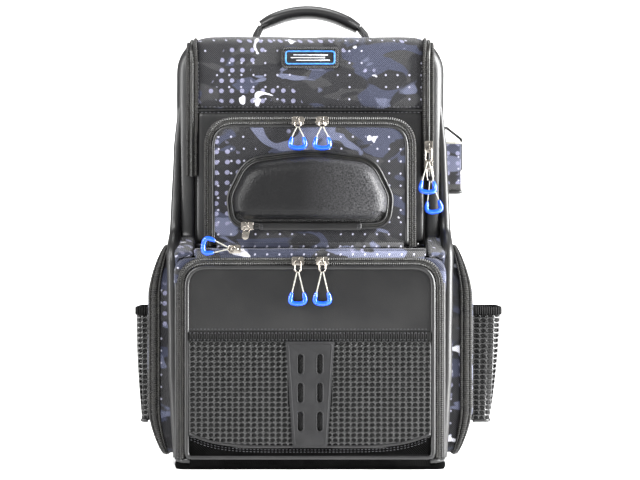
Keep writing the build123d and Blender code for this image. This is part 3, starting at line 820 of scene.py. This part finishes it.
for label, side in SIDES:
    sewn("side_gusset_" + label, "camo", voxel=1.8, relax=3, wrinkles=(0.8, 30))
    out = Vector((side, 0, 0))
    swell = bulge((side, 0, 0), POD_Y, POD_Z, 3.0)
    sewn("side_door_" + label, "camo", voxel=2.4, relax=5, wrinkles=(1.1, 45), swell=swell)
    corners = [(side * POD_X, POD_Y[a], POD_Z[b]) for a, b in ((1, 1), (0, 1), (0, 0), (1, 0))]
    line = divided(rounded(corners, (45, 45, 22, 22), True), 1.6, True)
    middle = Vector((side * POD_X, sum(POD_Y) / 2, sum(POD_Z) / 2))
    outs = [(p - middle).normalized() for p in line]
    ring = lambda share: 1.0 + 0.05 * math.sin(share * len(line) * 1.6)
    body = "side_door_" + label
    track("side_zip_" + label, line, outs, circle(4.0, 10, 0.55), "tape", body, True, ring)
    rims = bmesh.new()
    for shift in (-5.0, 4.6):
        swept(rims, [p + out * shift for p in line[::2]], outs[::2], circle(1.8, 8), True)
    piece("side_zip_cords_" + label, rims, "tape", body)

    # The net pocket's inner cloth is the darkened cloth, with painted shade under the netting.
    sewn("mesh_pocket_" + label, "under_net", voxel=1.6, relax=3, wrinkles=(0.2, 30), swell=lambda p, n: -0.9)

    def pocket_at(u, v, side=side):
        """A place on the net pocket: u runs round it from front to back, and v up it."""
        z = NET_POCKET_FOOT + NET_POCKET_TALL * v
        far = 194.6 + 12 * v if side > 0 else 182.6 + 6 * v
        far += 2.5 * math.sin(math.pi * v) * (0.4 + 0.6 * math.sin(math.pi * u))
        front, back = NET_POCKET_Y
        corners = [(side * x, y, z) for x, y in ((176, front), (far, front), (far, back), (176, back))]
        line = rounded(corners, (0, 8, 8, 0) if side > 0 else (0, 6, 6, 0))
        runs = [(b - a).length for a, b in zip(line, line[1:])]
        left = u * sum(runs)
        for a, b, run in zip(line, line[1:], runs):
            if left <= run:
                return a.lerp(b, left / run if run else 0)
            left -= run
        return line[-1]

    netting("side_net_" + label, pocket_at, 19, 21, lambda u, v: True, body)
    hem = [pocket_at(u, 1.0) + Vector((side * 0.3, 0, 2)) for u in steps(60)]
    foot = [pocket_at(u, 0.0) for u in steps(60)]
    front, back = Vector((side * 0.7, -1, 0)), Vector((side * 0.7, 1, 0))
    outs = [front if u <= 0.15 else out if u < 0.85 else back for u in steps(60)]
    track("net_hem_" + label, hem, outs, moved(flat(9, 2.8), 0, -1.2), "elastic", body)
    track("net_foot_" + label, foot, outs, circle(2.0, 8), "piping", body)


def tapered(obj, head=53, foot=48):
    """Draws a side pod in towards the side wall over the height of its head and its foot."""
    for vertex in obj.data.vertices:
        proud, z = abs(vertex.co.x) / MM - SIDE_WALL, vertex.co.z / MM
        above, below = z - (POD_Z[1] - head), POD_Z[0] + foot - z
        lean = 0.5 * max(0.0, above / head) ** 1.6 + 0.5 * max(0.0, below / foot) ** 1.6
        if proud > 0:
            vertex.co.x = math.copysign((SIDE_WALL + proud * (1 - lean)) * MM, vertex.co.x)


for label, _ in SIDES:
    for name in ("side_gusset_%s_cloth", "side_door_%s_cloth", "side_zip_%s", "side_zip_cords_%s"):
        tapered(bpy.data.objects[name % label])


def holster_zone(p, normal):
    """Camouflage pouch on a black tab, with a black foot and a black strap over it."""
    if p.x < 148.2 or p.z < 306 or p.x > 166.8:
        return 1
    return 0 if p.z < 352.5 and normal.x > -0.5 else 1


sewn("pliers_holster", "camo webbing", voxel=1.1, relax=3, wrinkles=(0.4, 20), zone=holster_zone)
rows = [[(167, y, 303), (167, y, 350)] for y in (-12, 24)]
stitched("holster_stitches", rows, Vector((1, 0, 0)), "root", 3.4, 2.4, 0.7)
line = [(147, -14.4, 352), (166.6, -14.4, 352), (166.6, 26.4, 352), (147, 26.4, 352)]
path, out = divided(rounded(line, 2.5), 3), Vector((0.6, 0, 0.8))
track("holster_edge", path, out, circle(1.3, 8), "braid", "root")
line = [(148, -14.4, 298), (166.6, -14.4, 298), (166.6, 26.4, 298), (148, 26.4, 298)]
path = divided(rounded(line, 2.5), 3)
track("holster_foot", path, -UP, circle(2.0, 8), "piping", "root")

# ---------------------------------------------------------------- back, straps and handle


def crowned(p, normal):
    """Back pads rise towards the wearer between their quilted lines."""
    if normal.y < 0.4:
        return 0.0
    return 1.6 * abs(math.cos(p.z * math.pi / 34)) ** 0.5 - 0.6


sewn("back_pads", "spacer", voxel=2.8, relax=5, wrinkles=(0.6, 40), swell=crowned)


def strap_x(z):
    """How far a shoulder strap's middle is from the bag's, at a height."""
    heights = ((160, 86), (200, 84), (245, 74.5), (290, 64), (345, 55), (400, 50), (440, 50))
    for (low, x_low), (high, x_high) in zip(heights, heights[1:]):
        if z <= high:
            return x_low + (x_high - x_low) * (z - low) / (high - low)
    return 50


def strap_y(z):
    """Depth of the middle of a shoulder strap: the arc through its two ends and its bulge."""
    points = ((428.0, 98.5), (306.0, 147.0), (172.0, 112.0))
    total = 0.0
    for i, (zi, yi) in enumerate(points):
        others = [zj for j, (zj, _) in enumerate(points) if j != i]
        total += yi * (z - others[0]) * (z - others[1]) / ((zi - others[0]) * (zi - others[1]))
    return total


for label, side in SIDES:
    strap = sewn("shoulder_strap_" + label, "spacer", voxel=2.4, relax=4, wrinkles=(0.7, 38))
    bm = bmesh.new()
    for edge in (-29.2, 29.2):
        line = [Vector((side * (strap_x(z) + edge), strap_y(z) + 1.0, z)) for z in range(182, 418, 6)]
        swept(bm, line, Vector((side * math.copysign(1, edge), 0, 0)), circle(2.4, 10, 1.0))
    piece("strap_binding_" + label, bm, "webbing", "root")
    head, foot = Vector((side * 90, 109.5, 134)), Vector((side * 122, 94, 26))
    line = [head.lerp(foot, s) + Vector((0, 1.6 * math.sin(math.pi * s), 0)) for s in steps(16)]
    section = moved(flat(25, 1.8), 0, -0.9)
    web = track("adjuster_" + label, line, -FRONT, section, "webbing", "root")
    if side > 0:
        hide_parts("strap_webbings")
eased("ladder_locks", "acetal", 0.6)
eased("sternum_socket", "acetal", 0.6)
eased("sternum_plug", "acetal", 0.5)
eased("sternum_webbings", "webbing", 0.3)

HANDLE_Y = 76.5
points = ((-65, 466.3), (-59, 486.3), (-24, 502.3), (14, 503.3), (56, 485.8), (65, 466.3))
line = divided(rounded([(x, HANDLE_Y, z) for x, z in points], 9), 2.5)
web = track("handle_strap", line, UP, moved(flat(25, 3), 0, -1.5), "webbing", "handle")
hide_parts("handle_webbing")
path = [Vector((x, HANDLE_Y, 503.8 - 17.3 * ((x + 4) / 56) ** 2)) for x in range(-56, 55, 2)]
ends = lambda share: 0.80 + 0.20 * min(1.0, 9 * min(share, 1 - share))
grip = track("handle_pad", path, UP, circle(15, 24, 0.5), "piping", "handle", scale=ends)
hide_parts("handle_grip")
for label, foot_x, top_x, top_z in (("left", -64, -56.5, 487.5), ("right", 64, 55, 486.2)):
    points = ((foot_x, 467), (foot_x * 0.965, 478), (top_x, top_z))
    line = divided([Vector((x, HANDLE_Y, z)) for x, z in points], 2)
    narrower = lambda share: 1.0 - 0.18 * share
    section = circle(13, 18, 0.36)
    track("handle_end_" + label, line, UP, section, "webbing", "handle", scale=narrower)
for label, side in SIDES:
    line = divided([Vector((side * 64 - s * 5, HANDLE_Y, 466.4 - s * 0.4)) for s in (-1, 1)], 2)
    track("handle_patch_" + label, line, UP, moved(flat(29, 1.6), 0, -0.6), "webbing", "root")

# ---------------------------------------------------------------- sliders and pulls

for node in NODES:
    if "slider" in node:
        eased(node, "nickel", 0.45, 3)
    if node in ("case_pull", "side_pull_left", "side_pull_right"):
        eased(node, "nickel", 0.35, 3)


def zip_pull(node, seat, x_dir, ring_length, drop=33.0, tilt=0.0, lean=0.0, cord_width=1.4):
    """A metal ring, a cord loop through it and a bright sleeve on the loop, hung from a slider."""
    x_dir = Vector(x_dir)
    up = FRONT.cross(x_dir)
    tilt, lean = math.radians(tilt), math.radians(lean)
    across = x_dir * math.cos(tilt) + up * math.sin(tilt)
    along = up * math.cos(tilt) - x_dir * math.sin(tilt)
    normal = FRONT * math.cos(lean) + along * math.sin(lean)
    along = normal.cross(across)
    origin = Vector(seat) + FRONT * 5.5
    at = lambda u, v: origin + across * u + along * v
    body = BODY_OF[node]
    low, half = 1.5 - ring_length, 3.25
    corners = [at(half, 0), at(-half, 0), at(-half, low + 0.75), at(half, low + 0.75)]
    line = divided(rounded(corners, 3.2, True), 0.9, True)
    track(node + "_ring", line, normal, circle(0.78, 8), "nickel", body, True)
    top, foot = low - drop + 14, low - drop
    shape = [(-0.9, low + 0.6), (-5.6, top), (-9.2, foot), (9.2, foot), (5.6, top), (0.9, low + 0.6)]
    loop = divided(rounded([at(*p) for p in shape], (0, 9, 7, 7, 9, 0)), 1.0)
    cord = track(node + "_cord", loop, normal, circle(cord_width / 2, 8), "braid", body)
    shape = [(-6.2, top - 2), (-9.2, foot), (9.2, foot), (6.2, top - 2)]
    line = divided(rounded([at(*p) for p in shape], (0, 7, 7, 0)), 1.0)
    ends = lambda share: 0.62 + 0.38 * min(1.0, 8 * min(share, 1 - share))
    grip = track(node + "_sleeve", line, normal, circle(2.5, 12), "blue", body, scale=ends)
    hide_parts(node)


for label, side in SIDES:
    zip_pull("upper_pull_" + label, (side * 13, -103.3, 372), (1, 0, 0), 9, 23, lean=14)
    zip_pull("lower_pull_" + label, (side * 13, -117.3, 222.5), (1, 0, 0), 14)
zip_pull("main_pull_top", (127.5, -77.6, 345), (1, 0, 0), 19, tilt=-2, lean=14)
zip_pull("main_pull_bottom", (127.5, -77.6, 325), (1, 0, 0), 19, tilt=7)
zip_pull("ledge_pull", (-80, -116.3, 235), (0, 0, -1), 9, 26, tilt=-7)

# ---------------------------------------------------------------- cloth strips at the sewn hinges


def fold(name, line, half, finish_name):
    """A strip of cloth across a sewn hinge between two bodies, made once in place and riding with neither.
    line is (y, z) places.
    """
    path = divided([Vector((0, y, z)) for y, z in line], 0.8)
    section = [(-0.4, -half), (0.4, -half), (0.4, half), (-0.4, half)]
    strip = piece(name, swept(bmesh.new(), path, Vector((1, 0, 0)), section), finish_name)
    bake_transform(strip)


line = [(-112.8, 4), (-114.8, 6), (-117.6, 11), (-117.9, 17)]
fold("lower_door_fold", line, 128, "ballistic")
line = [(-112.4, 221), (-114.2, 225), (-116.6, 229), (-116.9, 233)]
fold("flap_fold", line, 122, "camo")
line = [(-98.6, 235.6), (-101, 236), (-103.2, 237.4), (-103.6, 242)]
fold("pocket_fold", line, 100, "camo")

# ---------------------------------------------------------------- setting, light and camera

# A pale floor that curves up into a backdrop, as (y, z) places of its section
cove = [(-6000, 0), (2300, 0), (2750, 60), (3050, 230), (3220, 520), (3260, 950)]
bm = bmesh.new()
section = [(-y, z) for y, z in cove] + [(-y, z - 20) for y, z in reversed(cove)]
swept(bm, [Vector((x, 0, 0)) for x in (-6000, 6000)], UP, section)
piece("floor", bm, "pale_floor")

world = bpy.data.worlds.new("pale_room")
bpy.context.scene.world = world
world.use_nodes = True
world.node_tree.nodes["Background"].inputs[0].default_value = linear("#ffffff")
world.node_tree.nodes["Background"].inputs[1].default_value = 0.52


def softbox(name, position, aim, size, power):
    """A rectangular studio light. Places and sizes are in metres, and power in watts."""
    light = bpy.data.lights.new(name, "AREA")
    light.shape = "RECTANGLE"
    light.size, light.size_y = size
    light.energy = power
    box = bpy.data.objects.new(name, light)
    box.location = position
    box.rotation_euler = (Vector(aim) - Vector(position)).to_track_quat("-Z", "Y").to_euler()
    bpy.context.scene.collection.objects.link(box)


softbox("front_top", (-1.0, -1.5, 1.3), (0, -0.05, 0.32), (0.6, 0.6), 40)
softbox("left_side", (-1.5, -0.5, 0.6), (0, -0.05, 0.25), (0.3, 1.3), 34)
softbox("right_side", (1.4, -0.35, 0.6), (0, -0.05, 0.28), (0.9, 1.3), 150)
softbox("over_back", (0.1, 1.7, 1.8), (0, 3.1, 0.5), (1.6, 0.6), 95)
softbox("top", (0.0, 0.5, 1.8), (0, 0, 0.4), (1.0, 0.5), 14)

# A long lens, level with the middle of the bag, straight in front of it and just off centre
camera = bpy.data.objects.new("camera", bpy.data.cameras.new("camera"))
camera.location = (0.0106, -2.8, 0.2447)
camera.rotation_euler = (math.pi / 2, 0, 0)
camera.data.lens = 142
bpy.context.scene.collection.objects.link(camera)
bpy.context.scene.camera = camera
bpy.context.scene.view_settings.view_transform = "Standard"
